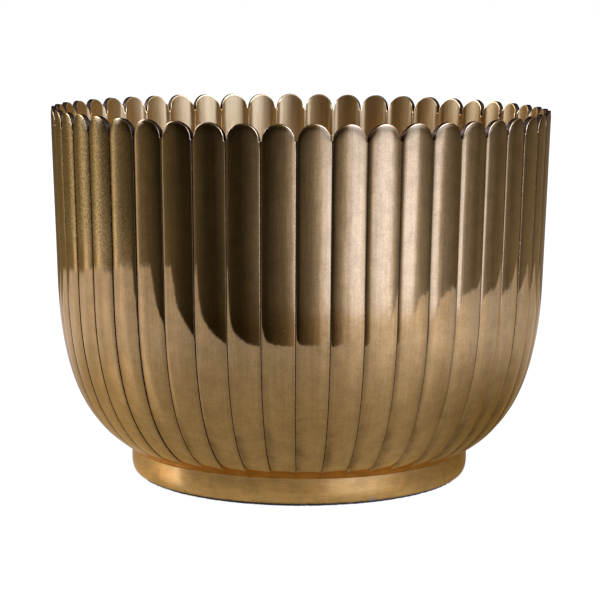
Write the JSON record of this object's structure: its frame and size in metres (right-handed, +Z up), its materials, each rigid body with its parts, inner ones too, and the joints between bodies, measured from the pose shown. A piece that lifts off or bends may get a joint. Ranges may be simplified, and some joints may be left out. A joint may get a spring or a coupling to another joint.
{
  "type": "fluted brass planter bowl",
  "caption": "Round fluted metal planter bowl with a scalloped rim and a turned foot ring, for holding a potted plant or flowers.",
  "frame": {"origin": "on the table, in the middle of the foot", "axes": "+Z up along the bowl's axis; -Y is the side that faces the camera, with a groove in its middle"},
  "size_m": [0.2494, 0.2494, 0.185],
  "materials": {
    "bowl_brass": "upright brushed, antiqued and lacquered, dark in the grooves",
    "foot_brass": "turned and brushed round the axis, antiqued and lacquered",
    "braze_filler": "as run, dull",
    "felt": "dark wool felt"
  },
  "bodies": {
    "root": {"fluted_bowl": "bowl_brass", "foot_ring": "foot_brass", "braze_fillet": "braze_filler", "felt_ring": "felt"}
  },
  "joints": []
}
